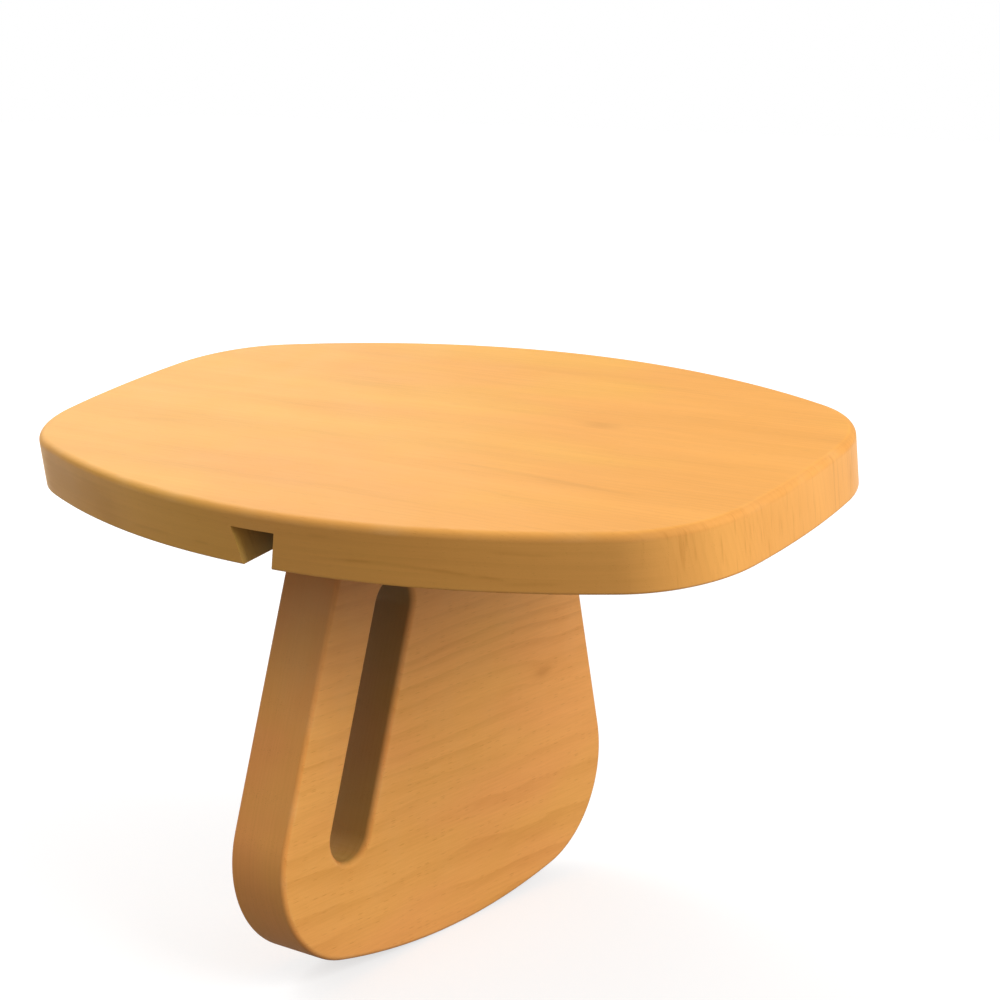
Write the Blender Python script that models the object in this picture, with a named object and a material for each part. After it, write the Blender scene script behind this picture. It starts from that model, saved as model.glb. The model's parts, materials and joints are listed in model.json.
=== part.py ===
"""Kneeling meditation bench: a bowed seat board that slides onto a single rocker leg.

The bench stands as it balances by itself. X runs along the seat, and the seat slopes down
towards -Y, the side where its dovetail groove opens. Z is up. The origin is on the floor,
in the middle of the bench as seen from above. Lengths are in metres and angles in radians.
"""
import math

import bmesh
import bpy
from mathutils import Vector

# Seat board, seen from above its own plane
SEAT_LENGTH = 0.330
SEAT_WIDTH = 0.1985
SEAT_THICKNESS = 0.0215
SEAT_SIDE_RADIUS = 0.336
SEAT_END_RADIUS = 0.294
SEAT_CORNER_RADIUS = 0.0485
SEAT_TOP_ROUNDING = 0.003
SEAT_BOTTOM_ROUNDING = 0.001

# Stance: the seat's slope, the height of the middle of its underside, and how far up the
# slope from there the foot's arc is centred, which is where the bench balances
SEAT_TILT = math.radians(10.0)
SEAT_HEIGHT = 0.179
FOOT_OFFSET = 0.0013

# Leg board, seen from its broad side
LEG_THICKNESS = 0.0262
LEG_TOP_LENGTH = 0.1326
LEG_LOW_LEAN = math.radians(17.9)
LEG_HIGH_LEAN = math.radians(13.85)
FOOT_RADIUS = 0.312
FOOT_LEVEL_LENGTH = 0.006
FOOT_LOW_CORNER = 0.042
FOOT_HIGH_CORNER = 0.0435
LEG_ROUNDING = 0.002

# Hand slot through the leg, along its low edge
SLOT_WIDTH = 0.021
SLOT_LENGTH = 0.107
SLOT_TOP_DROP = 0.009
SLOT_BAR_WIDTH = 0.025
SLOT_ROUNDING = 0.0025

# Sliding dovetail: a stopped groove in the seat and the tail along the leg's top
GROOVE_NECK_WIDTH = 0.0134
GROOVE_DEPTH = 0.0143
DOVETAIL_FLANK = math.radians(14.0)
TAIL_END_SHOULDER = 0.006
FIT_CLEARANCE = 0.0003

# Facets
SIDE_SEGMENTS = 14
END_SEGMENTS = 6
CORNER_SEGMENTS = 12
FOOT_SEGMENTS = 14
SLOT_SEGMENTS = 16
ROUNDING_SEGMENTS = 3

# How far a cutter runs past the wood, the distance under which points are welded, the bend
# under which faces count as flat, and the bend over which an edge is shaded sharp
CUT_PAST = 0.01
WELD_DISTANCE = 0.00001
FLAT_BEND = math.radians(0.1)
SHARP_BEND = math.radians(35.0)

# Lacquered hardwood: the same timber, lighter on the seat and deeper on the leg
SEAT_COLOUR = (0.93, 0.55, 0.22)
LEG_COLOUR = (0.76, 0.37, 0.14)
WOOD_ROUGHNESS = 0.45


def remove_all_objects():
    for item in list(bpy.data.objects):
        bpy.data.objects.remove(item, do_unlink=True)


def new_collection(name):
    collection = bpy.data.collections.new(name)
    bpy.context.scene.collection.children.link(collection)
    return collection


def arc(centre, radius, start, end, segments):
    """Points along an arc, both ends included, in two dimensions."""
    points = []
    for step in range(segments + 1):
        angle = start + (end - start) * step / segments
        points.append(centre + radius * Vector((math.cos(angle), math.sin(angle))))
    return points


def direction_angle(vector):
    """Angle of a two-dimensional vector, from 0 to a full turn."""
    return math.atan2(vector.y, vector.x) % math.tau


def join_runs(*runs):
    """One outline from runs of points whose ends meet, or nearly meet."""
    outline = []
    for run in runs:
        for point in run:
            if not outline or (point - outline[-1]).length > WELD_DISTANCE:
                outline.append(point)
    if (outline[0] - outline[-1]).length <= WELD_DISTANCE:
        outline.pop()
    return outline


def seat_outline():
    """Bowed long sides and ends with round corners between them, counter-clockwise."""
    end_centre = Vector((SEAT_LENGTH / 2 - SEAT_END_RADIUS, 0))
    side_centre = Vector((0, SEAT_WIDTH / 2 - SEAT_SIDE_RADIUS))
    # The corner's circle lies inside both bows and touches them
    from_end = SEAT_END_RADIUS - SEAT_CORNER_RADIUS
    from_side = SEAT_SIDE_RADIUS - SEAT_CORNER_RADIUS
    apart = side_centre - end_centre
    along = (apart.length_squared + from_end**2 - from_side**2) / (2 * apart.length)
    across = math.sqrt(from_end**2 - along**2)
    unit = apart.normalized()
    corner = end_centre + along * unit + across * Vector((-unit.y, unit.x))
    end_angle = direction_angle(corner - end_centre)
    side_angle = direction_angle(corner - side_centre)
    quarter = join_runs(
        arc(end_centre, SEAT_END_RADIUS, 0, end_angle, END_SEGMENTS),
        arc(corner, SEAT_CORNER_RADIUS, end_angle, side_angle, CORNER_SEGMENTS),
        arc(side_centre, SEAT_SIDE_RADIUS, side_angle, math.pi / 2, SIDE_SEGMENTS),
    )
    left = [Vector((-point.x, point.y)) for point in reversed(quarter)]
    half = join_runs(quarter, left)
    return join_runs(half, [-point for point in half])


def slope_direction():
    """Unit vector up the seat's slope, in the leg's (Y, Z) plane."""
    return Vector((math.cos(SEAT_TILT), math.sin(SEAT_TILT)))


def slope_normal():
    """Unit vector square to the seat, in the leg's (Y, Z) plane."""
    return Vector((-math.sin(SEAT_TILT), math.cos(SEAT_TILT)))


def seat_centre():
    """The middle of the seat's underside, in the leg's plane, from the foot's lowest point."""
    return Vector((-FOOT_OFFSET, SEAT_HEIGHT))


def foot_centre():
    """The centre of the foot's arc, over the middle of the level stretch that it stands on."""
    return Vector((0, math.sqrt(FOOT_RADIUS**2 - (FOOT_LEVEL_LENGTH / 2) ** 2)))


def seat_reach(sign):
    """How far the tilted seat reaches to its low side, for -1, or its high side, for 1."""
    if sign < 0:
        rounding = SEAT_TOP_ROUNDING
        height = SEAT_THICKNESS - SEAT_TOP_ROUNDING
    else:
        rounding = SEAT_BOTTOM_ROUNDING
        height = SEAT_BOTTOM_ROUNDING
    rim = seat_centre() + height * slope_normal()
    rim += sign * (SEAT_WIDTH / 2 - rounding) * slope_direction()
    return rim.x + sign * rounding


def leg_side(sign, lean, corner_radius):
    """One edge of the leg: its shoulder point, its top at the tail, and its foot corner.

    The sign is -1 for the low edge and 1 for the high one. The foot corner's circle touches
    the edge and the foot's arc.
    """
    down = Vector((sign * math.sin(lean), -math.cos(lean)))
    inward = Vector((-sign * math.cos(lean), -math.sin(lean)))
    shoulder = seat_centre() - FIT_CLEARANCE * slope_normal()
    shoulder += sign * LEG_TOP_LENGTH / 2 * slope_direction()
    top = shoulder + GROOVE_DEPTH / down.dot(slope_normal()) * down
    offset = shoulder + corner_radius * inward - foot_centre()
    reach = FOOT_RADIUS - corner_radius
    along = offset.dot(down)
    travel = math.sqrt(along**2 - offset.length_squared + reach**2) - along
    corner = foot_centre() + offset + travel * down
    return {
        "shoulder": shoulder,
        "top": top,
        "down": down,
        "inward": inward,
        "corner": corner,
        "edge_angle": direction_angle(-inward),
        "foot_angle": direction_angle(corner - foot_centre()),
    }


def leg_outline(low, high):
    """The leg with its tail, counter-clockwise, from the middle of its level stretch."""
    straight_down = 3 * math.pi / 2
    half_level = math.asin(FOOT_LEVEL_LENGTH / 2 / FOOT_RADIUS)
    return join_runs(
        [low["top"]],
        arc(low["corner"], FOOT_LOW_CORNER, low["edge_angle"], low["foot_angle"],
            CORNER_SEGMENTS),
        arc(foot_centre(), FOOT_RADIUS, low["foot_angle"], straight_down - half_level,
            FOOT_SEGMENTS),
        arc(foot_centre(), FOOT_RADIUS, straight_down + half_level, high["foot_angle"],
            FOOT_SEGMENTS),
        arc(high["corner"], FOOT_HIGH_CORNER, high["foot_angle"],
            high["edge_angle"] + math.tau, CORNER_SEGMENTS),
        [high["top"]],
    )


def capsule_outline(low_end, high_end, radius):
    """A slot's outline with round ends, counter-clockwise."""
    heading = direction_angle(high_end - low_end)
    quarter_turn = math.pi / 2
    return join_runs(
        arc(high_end, radius, heading - quarter_turn, heading + quarter_turn, SLOT_SEGMENTS),
        arc(low_end, radius, heading + quarter_turn, heading + 3 * quarter_turn, SLOT_SEGMENTS),
    )


def new_object(name, mesh, collection):
    item = bpy.data.objects.new(name, mesh)
    collection.objects.link(item)
    return item


def extruded_board(name, outline, thickness, collection):
    """A flat board: the outline filled and extruded about its own plane, with whole caps."""
    curve = bpy.data.curves.new(name + "_outline", "CURVE")
    curve.dimensions = "2D"
    curve.fill_mode = "BOTH"
    curve.extrude = thickness / 2
    spline = curve.splines.new("POLY")
    spline.points.add(len(outline) - 1)
    for target, point in zip(spline.points, outline):
        target.co = (point.x, point.y, 0, 1)
    spline.use_cyclic_u = True
    guide = new_object(name + "_outline", curve, collection)
    bpy.context.view_layer.update()
    evaluated = guide.evaluated_get(bpy.context.evaluated_depsgraph_get())
    mesh = bpy.data.meshes.new_from_object(evaluated)
    mesh.name = name
    board = new_object(name, mesh, collection)
    board.matrix_world = guide.matrix_world
    bpy.data.objects.remove(guide, do_unlink=True)

    shape = bmesh.new()
    shape.from_mesh(mesh)
    bmesh.ops.remove_doubles(shape, verts=shape.verts, dist=WELD_DISTANCE)
    bmesh.ops.dissolve_limit(shape, angle_limit=FLAT_BEND, verts=shape.verts, edges=shape.edges)
    bmesh.ops.recalc_face_normals(shape, faces=shape.faces)
    shape.to_mesh(mesh)
    shape.free()
    return board


def round_rim(board, side, radius):
    """Round the edges all round one cap, the upper cap where side is 1 and the lower at -1."""
    shape = bmesh.new()
    shape.from_mesh(board.data)
    cap = max(shape.faces, key=lambda face: side * face.calc_center_median().z)
    bmesh.ops.bevel(shape, geom=list(cap.edges), offset=radius, offset_type="OFFSET",
                    segments=ROUNDING_SEGMENTS, profile=0.5, affect="EDGES")
    shape.to_mesh(board.data)
    shape.free()


def shade_smooth(item):
    item.data.shade_smooth()
    item.data.set_sharp_from_angle(angle=SHARP_BEND)


def lofted_cutter(name, rings, collection):
    """A closed solid through rings of points that all have the same count."""
    shape = bmesh.new()
    loops = [[shape.verts.new(point) for point in ring] for ring in rings]
    count = len(rings[0])
    for lower, upper in zip(loops, loops[1:]):
        for index in range(count):
            following = (index + 1) % count
            shape.faces.new((lower[index], lower[following], upper[following], upper[index]))
    shape.faces.new(list(reversed(loops[0])))
    shape.faces.new(loops[-1])
    bmesh.ops.recalc_face_normals(shape, faces=shape.faces)
    mesh = bpy.data.meshes.new(name)
    shape.to_mesh(mesh)
    shape.free()
    return as_cutter(new_object(name, mesh, collection))


def as_cutter(item):
    item.hide_render = True
    item.display_type = "WIRE"
    return item


def cut(target, cutter):
    """Take the cutter's shape out of the target."""
    modifier = target.modifiers.new(cutter.name, "BOOLEAN")
    modifier.operation = "DIFFERENCE"
    modifier.solver = "EXACT"
    modifier.object = cutter


def dovetail_half_width(height):
    """Half the groove's width at a height above the seat's underside."""
    return GROOVE_NECK_WIDTH / 2 + height * math.tan(DOVETAIL_FLANK)


def dovetail_end_y():
    """Where the cutting bit stopped, along the slope, so that the leg's end hides the groove."""
    return LEG_TOP_LENGTH / 2 - TAIL_END_SHOULDER - dovetail_half_width(GROOVE_DEPTH)


def dovetail_ring(height, start, inset):
    """The dovetail's plan at one height: straight flanks and the half-round end of the bit."""
    half_width = dovetail_half_width(height) - inset
    centre = Vector((0, dovetail_end_y()))
    plan = [Vector((half_width, start))]
    plan += arc(centre, half_width, 0, math.pi, SLOT_SEGMENTS)
    plan.append(Vector((-half_width, start)))
    return [point.to_3d() + Vector((0, 0, height)) for point in plan]


def dovetail_solid(name, bottom, top, start, inset, collection):
    """The dovetail's space between two heights. A tail stands inside its groove by the inset."""
    rings = [dovetail_ring(bottom, start, inset), dovetail_ring(top, start, inset)]
    return lofted_cutter(name, rings, collection)


def tail_waste(collection):
    """The wood that comes off the leg's top beside and beyond the tail."""
    length = LEG_TOP_LENGTH + 4 * CUT_PAST
    width = LEG_THICKNESS + 2 * CUT_PAST
    height = GROOVE_DEPTH + CUT_PAST
    bpy.ops.mesh.primitive_cube_add(size=1)
    block = bpy.context.active_object
    block.name = "tail_waste"
    block.data.name = "tail_waste"
    for user in list(block.users_collection):
        user.objects.unlink(block)
    collection.objects.link(block)
    for vertex in block.data.vertices:
        vertex.co.x *= width
        vertex.co.y *= length
        vertex.co.z = (vertex.co.z + 0.5) * height - FIT_CLEARANCE
    as_cutter(block)
    tail = dovetail_solid("tail_form", -FIT_CLEARANCE - CUT_PAST, height + CUT_PAST, -length,
                          FIT_CLEARANCE / math.cos(DOVETAIL_FLANK), collection)
    cut(block, tail)
    return block, tail


def slot_cutter(low, collection):
    """The hand slot beside the leg's low edge, with its rims rounded over on both faces."""
    radius = SLOT_WIDTH / 2
    axis_start = low["shoulder"] + (SLOT_BAR_WIDTH + radius) * low["inward"]
    high_end = axis_start + (SLOT_TOP_DROP + radius) * low["down"]
    low_end = axis_start + (SLOT_TOP_DROP + SLOT_LENGTH - radius) * low["down"]
    profile = [(LEG_THICKNESS / 2 + CUT_PAST, SLOT_ROUNDING)]
    for step in range(ROUNDING_SEGMENTS, -1, -1):
        angle = math.pi / 2 * step / ROUNDING_SEGMENTS
        level = LEG_THICKNESS / 2 - SLOT_ROUNDING * (1 - math.sin(angle))
        profile.append((level, SLOT_ROUNDING * (1 - math.cos(angle))))
    levels = [(-level, flare) for level, flare in profile] + list(reversed(profile))
    rings = []
    for level, flare in levels:
        plan = capsule_outline(low_end, high_end, radius + flare)
        rings.append([point.to_3d() + Vector((0, 0, level)) for point in plan])
    return lofted_cutter("slot_cutter", rings, collection)


def wood(name, colour):
    material = bpy.data.materials.new(name)
    material.use_nodes = True
    shader = material.node_tree.nodes["Principled BSDF"]
    shader.inputs["Base Color"].default_value = (*colour, 1)
    shader.inputs["Roughness"].default_value = WOOD_ROUGHNESS
    shader.inputs["Metallic"].default_value = 0
    return material


def build_bench():
    remove_all_objects()
    parts = new_collection("meditation_bench")
    cutters = new_collection("cutters")

    low = leg_side(-1, LEG_LOW_LEAN, FOOT_LOW_CORNER)
    high = leg_side(1, LEG_HIGH_LEAN, FOOT_HIGH_CORNER)
    outline = leg_outline(low, high)
    # The foot stands where the whole bench is centred over the origin
    reaches = [point.x for point in outline] + [seat_reach(-1), seat_reach(1)]
    foot_y = -(min(reaches) + max(reaches)) / 2

    # The datum is the middle of the seat's underside, tilted with it. The seat slides along Y here
    datum = bpy.data.objects.new("seat_datum", None)
    datum.location = (0, foot_y + seat_centre().x, seat_centre().y)
    datum.rotation_euler = (SEAT_TILT, 0, 0)
    parts.objects.link(datum)

    seat = extruded_board("seat_board", seat_outline(), SEAT_THICKNESS, parts)
    round_rim(seat, 1, SEAT_TOP_ROUNDING)
    round_rim(seat, -1, SEAT_BOTTOM_ROUNDING)
    for vertex in seat.data.vertices:
        vertex.co.z += SEAT_THICKNESS / 2
    groove = dovetail_solid("groove_cutter", -CUT_PAST, GROOVE_DEPTH,
                            -SEAT_WIDTH / 2 - CUT_PAST, 0, cutters)
    cut(seat, groove)

    leg = extruded_board("leg_board", outline, LEG_THICKNESS, parts)
    round_rim(leg, 1, LEG_ROUNDING)
    round_rim(leg, -1, LEG_ROUNDING)
    slot = slot_cutter(low, cutters)
    waste, tail = tail_waste(cutters)
    cut(leg, slot)
    cut(leg, waste)

    # A board drawn in (X, Y) stands up in the (Y, Z) plane with its thickness along X
    for item in (leg, slot):
        item.location = (0, foot_y, 0)
        item.rotation_euler = (math.pi / 2, 0, math.pi / 2)
    for item in (seat, groove, waste, tail):
        item.parent = datum

    seat.data.materials.append(wood("seat_wood", SEAT_COLOUR))
    leg.data.materials.append(wood("leg_wood", LEG_COLOUR))
    for item in (seat, leg):
        shade_smooth(item)


build_bench()
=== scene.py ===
"""Looks of the kneeling meditation bench: two lacquered boards, a plain pale studio and a camera.

The seat board and the leg board are modelled again here with fine curves, eased edges and solid
wood. Sizes are those of the construction. Lengths are in metres and angles in radians, except
inside the wood, whose grain is laid out in millimetres.
"""
import json
import math

import bmesh
import bpy
from mathutils import Euler, Matrix, Vector


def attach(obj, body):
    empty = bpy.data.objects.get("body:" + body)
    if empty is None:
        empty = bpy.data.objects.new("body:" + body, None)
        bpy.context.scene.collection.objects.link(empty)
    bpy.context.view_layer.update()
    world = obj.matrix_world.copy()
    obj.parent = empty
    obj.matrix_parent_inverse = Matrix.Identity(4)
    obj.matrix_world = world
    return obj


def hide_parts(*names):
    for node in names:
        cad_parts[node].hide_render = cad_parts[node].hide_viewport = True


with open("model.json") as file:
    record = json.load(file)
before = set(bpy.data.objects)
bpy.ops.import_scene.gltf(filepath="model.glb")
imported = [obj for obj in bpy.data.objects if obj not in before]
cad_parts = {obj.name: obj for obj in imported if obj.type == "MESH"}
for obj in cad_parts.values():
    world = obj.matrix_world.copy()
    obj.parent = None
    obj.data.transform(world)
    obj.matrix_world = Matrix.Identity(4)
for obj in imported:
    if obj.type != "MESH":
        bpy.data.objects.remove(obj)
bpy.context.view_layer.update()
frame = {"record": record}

# Seat board
SEAT_LENGTH = 0.330
SEAT_WIDTH = 0.1985
SEAT_THICKNESS = 0.0215
SEAT_SIDE_RADIUS = 0.336
SEAT_END_RADIUS = 0.294
SEAT_CORNER_RADIUS = 0.0485
SEAT_TOP_ROUNDING = 0.003
SEAT_BOTTOM_ROUNDING = 0.001

# Stance: the seat's slope, how high the middle of its underside is, and how far +Y of that middle
# the foot's lowest point is
SEAT_TILT = math.radians(10.0)
SEAT_HEIGHT = 0.179
FOOT_OFFSET = 0.0013

# Leg board
LEG_THICKNESS = 0.0262
LEG_TOP_LENGTH = 0.1326
LEG_LOW_LEAN = math.radians(17.9)
LEG_HIGH_LEAN = math.radians(13.85)
FOOT_RADIUS = 0.312
FOOT_LEVEL_LENGTH = 0.006
FOOT_LOW_CORNER = 0.042
FOOT_HIGH_CORNER = 0.0435
LEG_ROUNDING = 0.002

# Hand slot
SLOT_WIDTH = 0.021
SLOT_LENGTH = 0.107
SLOT_TOP_DROP = 0.009
SLOT_BAR_WIDTH = 0.025
SLOT_ROUNDING = 0.0025

# Sliding dovetail. The groove's walls go on darkening as far in as the shade's depth.
GROOVE_NECK_WIDTH = 0.0134
GROOVE_DEPTH = 0.0143
DOVETAIL_FLANK = math.radians(14.0)
TAIL_END_SHOULDER = 0.006
FIT_CLEARANCE = 0.0003
GROOVE_EASING = 0.0004
GROOVE_SHADE_DEPTH = 0.016

# Fineness of the surface. The hold is a narrow strip beside each rounded edge that keeps the flats
# looking flat, and cutters reach a little past what they cut. The mesh has a sharp edge from the
# sharp bend on, and wear rises from the flat bend to the rounded bend.
SIDE_SEGMENTS = 48
END_SEGMENTS = 24
CORNER_SEGMENTS = 32
FOOT_SEGMENTS = 56
SLOT_SEGMENTS = 48
ROUNDING_SEGMENTS = 10
HOLD_WIDTH = 0.0003
CUT_PAST = 0.01
WELD_DISTANCE = 0.000005
SHARP_BEND = math.radians(35.0)
FLAT_BEND = math.radians(3.0)
ROUNDED_BEND = math.radians(7.0)

# Camera, from the photograph's perspective
CAMERA_POSITION = (0.5371, -0.6702, 0.3480)
CAMERA_AIM = (0.0, 0.0457, 0.16275)
CAMERA_ROLL = math.radians(0.13)
CAMERA_LENS = 82.2
CAMERA_SENSOR_WIDTH = 36
CAMERA_CLIP_START = 0.01

# Softboxes on both sides and at the back, each facing the bench from the same distance: azimuth
# from +X towards +Y and elevation in degrees, width and height in metres, power in watts, and
# whether the lacquer mirrors it. The fill is the world's strength.
LIT_POINT = (0.0, 0.0, 0.14)
LAMP_DISTANCE = 1.3
SOFTBOXES = [
    ("right", 0, 29, 0.9, 1.0, 14.2, False),
    ("left", 177, 34, 1.0, 1.1, 10.9, False),
    ("back_left", 152, 32, 0.9, 0.9, 2.8, True),
]
FILL_STRENGTH = 0.395
WHITE = (1, 1, 1, 1)

# Floor. Its albedo is what it sends back to the bench, and its seen albedo carries the bench's
# shadow. The glow makes it white to the camera, and the sheen is what the lacquer mirrors of it:
# two distances from the bench, and the strength at each.
FLOOR_HALF_WIDTH = 6.0
FLOOR_TOP = -0.0002
FLOOR_BOTTOM = -0.05
FLOOR_ALBEDO = (0.20, 0.20, 0.20, 1)
FLOOR_SEEN_ALBEDO = (0.40, 0.40, 0.40, 1)
FLOOR_ROUGHNESS = 0.9
FLOOR_GLOW = (0.35, 1.6, 0.66, 1.0)
FLOOR_SHEEN = (0.45, 0.85, 0.1, 1.0)

# Wood. Lengths are in millimetres, in a board's own frame: grain along X, thickness along Z.
# - The colour runs from light to dark wood by a tone, of which the shares weigh the parts. The
#   warming adds to the warm patches with each millimetre along X.
# - The pith is the middle of the growth rings, as (y, z), and the wave is how far they wander.
# - The year shares weigh the late wood lines and the broad bands. The quiet sides, which face along
#   the quiet axis, have plain lines in place of the rings, with a width and shares of their own.
# - A noise is (how long, wide and deep a cell is, a shift that sets it apart, detail, roughness),
#   and the offset sets the board's noises apart from those of the other board.
# - On end grain only the end fibre's share of the fibres is left, and strokes and a tint are added.
#   The tint is partly the end grain's own colour and partly painted light for how the ends are lit.
# - The painted shade on the leg where the seat shades it is ((from y, to y), share, its colour).
# - The recess tints are painted shade in a shallow and in a deep recess, and on the seat the shallow
#   tint is painted light, paler and greyer, near the groove's mouth. The mesh stores how far inside
#   one each point is: 0 outside, the shallow recess's value where the first tint is full, and 1
#   where the second is.
# - A knot is ((x, y, size), swell of the rings, darkness). A streak is ((start, end, bow, width),
#   darkness, whether it is on the quiet sides), with its ends as (x, y), or as (x, z) there. The
#   seat's widest streak is painted shade; the others are darker wood.
SEAT_LOOK = {
    "light": (0.98, 0.465, 0.098, 1),
    "dark": (0.786, 0.343, 0.061, 1),
    "pith": (-420, -60),
    "warming": 0.0014,
    "wave": 12,
    "ring_width": 2.3,
    "year_shares": (0.13, 0.85),
    "quiet_axis": (0, 1, 0),
    "quiet_width": 5.2,
    "quiet_shares": (0.16, 0.5),
    "fibres": ((30, 0.8, 14), 0, 4.0, 0.65),
    "fibre_share": 0.42,
    "end_fibre": 0.65,
    "end_strokes": 0.48,
    "end_grain_and_light_tint": (0.95, 0.965, 1.08, 1),
    "pore_share": 0.25,
    "under_seat_shade": None,
    "recess_shade_tints": ((1.05, 1.25, 1.35, 1), (0.48, 0.67, 1.0, 1)),
    "knots": [((67, 21, 6.0), 3.0, 0.55), ((-3, 24, 2.2), 1.0, 0.3), ((-4, 12, 1.6), 0.8, 0.25),
              ((137, -2.5, 1.6), 0.5, 0.25)],
    "streaks": [
        (((22, -30), (133, -38.5), 0, 1.3), 0.26, False),
        (((70, -36), (128, -38), 0, 2.6), 0.16, False),
        (((-150, -39), (-88, -27), 0, 1.6), 0.12, False),
        (((28, 70), (122, 64), 0, 2.6), 0.18, False),
        (((-95, 38), (-12, 25), 0, 5.0), 0.10, False),
        (((16, 6.4), (100, 4.6), 2.6, 0.8), 0.40, True),
        (((38, 7.8), (52, 8.5), 0, 0.5), 0.30, True),
        (((72, 7.5), (88, 6.3), 0, 0.5), 0.22, True),
        (((88, 6.2), (99, 4.9), 0, 0.6), 0.32, True),
        (((-32, 5.6), (-22, 5.2), 0, 0.6), 0.35, True),
        (((24, 15.6), (36, 15.9), 0, 0.7), 0.25, True),
        (((92, 15.0), (118, 13.6), 0, 0.6), 0.35, True),
        (((96, 3.4), (120, 4.0), 0, 0.6), 0.25, True),
        (((-70, 4.5), (-42, 5.5), 0, 0.8), 0.30, True),
        # Painted shade: a wide dark band on the left of the seat's rims, against the floor's sheen there
        (((-152, 9), (-62, 9), 0, 9), 0.8, True),
    ],
    "offset": 1.3,
}
LEG_LOOK = {
    "light": (0.97, 0.435, 0.117, 1),
    "dark": (0.764, 0.314, 0.070, 1),
    "pith": (-60, -330),
    "warming": 0.0,
    "wave": 8,
    "ring_width": 3.2,
    "year_shares": (0.40, 0.85),
    "quiet_axis": (1, 0, 0),
    "quiet_width": 1.7,
    "quiet_shares": (0.18, 0.3),
    "fibres": ((20, 0.9, 20), 0, 4.0, 0.65),
    "fibre_share": 0.72,
    "end_fibre": 0.55,
    "end_strokes": 0.0,
    "end_grain_and_light_tint": (1.04, 0.98, 0.95, 1),
    "pore_share": 0.55,
    "under_seat_shade": ((85, 158), 0.42, (0.54, 0.30, 0.103, 1)),
    "recess_shade_tints": ((0.735, 0.785, 0.81, 1), (0.47, 0.57, 0.62, 1)),
    "knots": [((55, 91, 4.5), 2.5, 0.6)],
    "streaks": [],
    "offset": 6.1,
}
MILLIMETRES = (0.001, 0.001, 0.001)
END_AXIS = (1, 0, 0)
# Painted shade in recesses: the stored value at which the shallow tint is full
SHALLOW_RECESS_SHADE = 0.5

# Noises that both boards share
WAVE = ((140, 38, 90), 0, 2.0, 0.5)
RIPPLE = ((38, 9, 24), 5, 3.0, 0.5)
QUIET_FIBRES = ((40, 30, 0.8), 6, 4.0, 0.65)
STROKES = ((60, 1.5, 20), 12, 2.0, 0.5)
HAIRS = ((9, 0.25, 0.25), 2, 2.0, 0.5)
CLOUD = ((120, 45, 45), 7, 2.0, 0.5)
WORN_PATCHES = ((14, 14, 14), 4, 2.0, 0.5)
SMUDGES = ((22, 22, 22), 8, 3.0, 0.5)

# Growth rings. The ripple moves them on the faces, and the wave and the ripple on the quiet sides,
# whose noises a shift sets apart. The season, a noise across the rings, makes the years uneven. The
# noises of the lines' strength and of the bands are (cell along the board, cell across the rings,
# shift, detail, roughness), and the strength is mapped from the first two values of its range to
# the others. The late wood's rise and fall are shares of a year.
RING_RIPPLE = 1.6
QUIET_WAVE = 2.0
QUIET_RIPPLE = 0.5
QUIET_SHIFT = 11
SEASON_CELL = 11.0
SEASON_SPREAD = 5
SEASON_DETAIL = 2.0
SEASON_ROUGHNESS = 0.5
LINES = (90.0, 14.0, 9, 3.0, 0.5)
LINE_STRENGTH = (-0.12, 0.2, 0.2, 1.0)
BANDS = (170.0, 13.0, 3, 3.0, 0.6)
LATE_WOOD_RISE = (0.35, 0.9)
LATE_WOOD_FALL = (1.0, 0.93)

# Marks: how much a knot's dark core narrows, how its distances count along each axis, what share of
# a streak is faded at each end, and how far it wavers, in its own widths
KNOT_CORE = 3.0
KNOT_WEIGHTS = (0.45, 1, 0.05)
STREAK_FADE = 0.3
STREAK_WAVER = 2

# Parts of the tone. A range is where a noise, or the distance from a pore, begins to show and where
# it shows in full. The pick does the same with a number that each pore has, which leaves most out.
BASE_TONE = 0.28
RIPPLE_SHARE = 0.20
HAIR_SHARE = 0.18
STROKE_RANGE = (0.04, 0.22)
PORE_CELL = (5.0, 0.5, 0.5)
PORE_RANGE = (0.42, 0.18)
PORE_PICK = (0.76, 0.95)

# How squarely a surface faces along an axis where a look begins on it and where it is full
QUIET_FACING = (0.6, 0.85)
END_FIBRE_FACING = (0.55, 1.0)
STROKE_FACING = (0.35, 0.7)
ROUNDED_END_FACING = (0.1, 0.5)
END_FACING = (0.2, 0.5)

# Colour shifts: the warm patches' range, hue and saturation, the tint of painted shade on end grain
# where it is rounded over, against the highlight there, how much more the painted shade under the
# seat shows on the leg's ends, and the colour of handled edges, whose share is mapped from the
# first two values of its range to the others
WARM_RANGE = (-0.2, 0.2)
WARM_HUE = (0.5055, 0.4985)
WARM_SATURATION = (1.005, 1.0)
ROUNDED_END_SHADE_TINT = (0.95, 0.905, 0.86, 1)
UNDER_SEAT_SHADE_END_SHARE = 1.3
WORN_WOOD = (1.0, 0.70, 0.36, 1)
WORN_SHARE = (-0.1, 0.3, 0.01, 0.12)

# Satin lacquer
ROUGHNESS = 0.46
SMUDGE_ROUGHNESS = 0.10
FIBRE_ROUGHNESS = 0.10
WORN_ROUGHNESS = 0.05
FIBRE_RELIEF = -0.5
YEAR_RELIEF = -0.4
PORE_RELIEF = -0.7
RELIEF_STRENGTH = 0.35
RELIEF_DEPTH = 0.00012
WOOD_IOR = 1.5
WOOD_SPECULAR_LEVEL = 0.30
COAT_WEIGHT = 0.03
COAT_ROUGHNESS = 0.32


def arc(centre, radius, start, end, segments):
    """Points along an arc, both ends included, in two dimensions."""
    points = []
    for step in range(segments + 1):
        angle = start + (end - start) * step / segments
        points.append(centre + radius * Vector((math.cos(angle), math.sin(angle))))
    return points


def direction_angle(vector):
    """Angle of a two-dimensional vector, from 0 to a full turn."""
    return math.atan2(vector.y, vector.x) % math.tau


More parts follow.
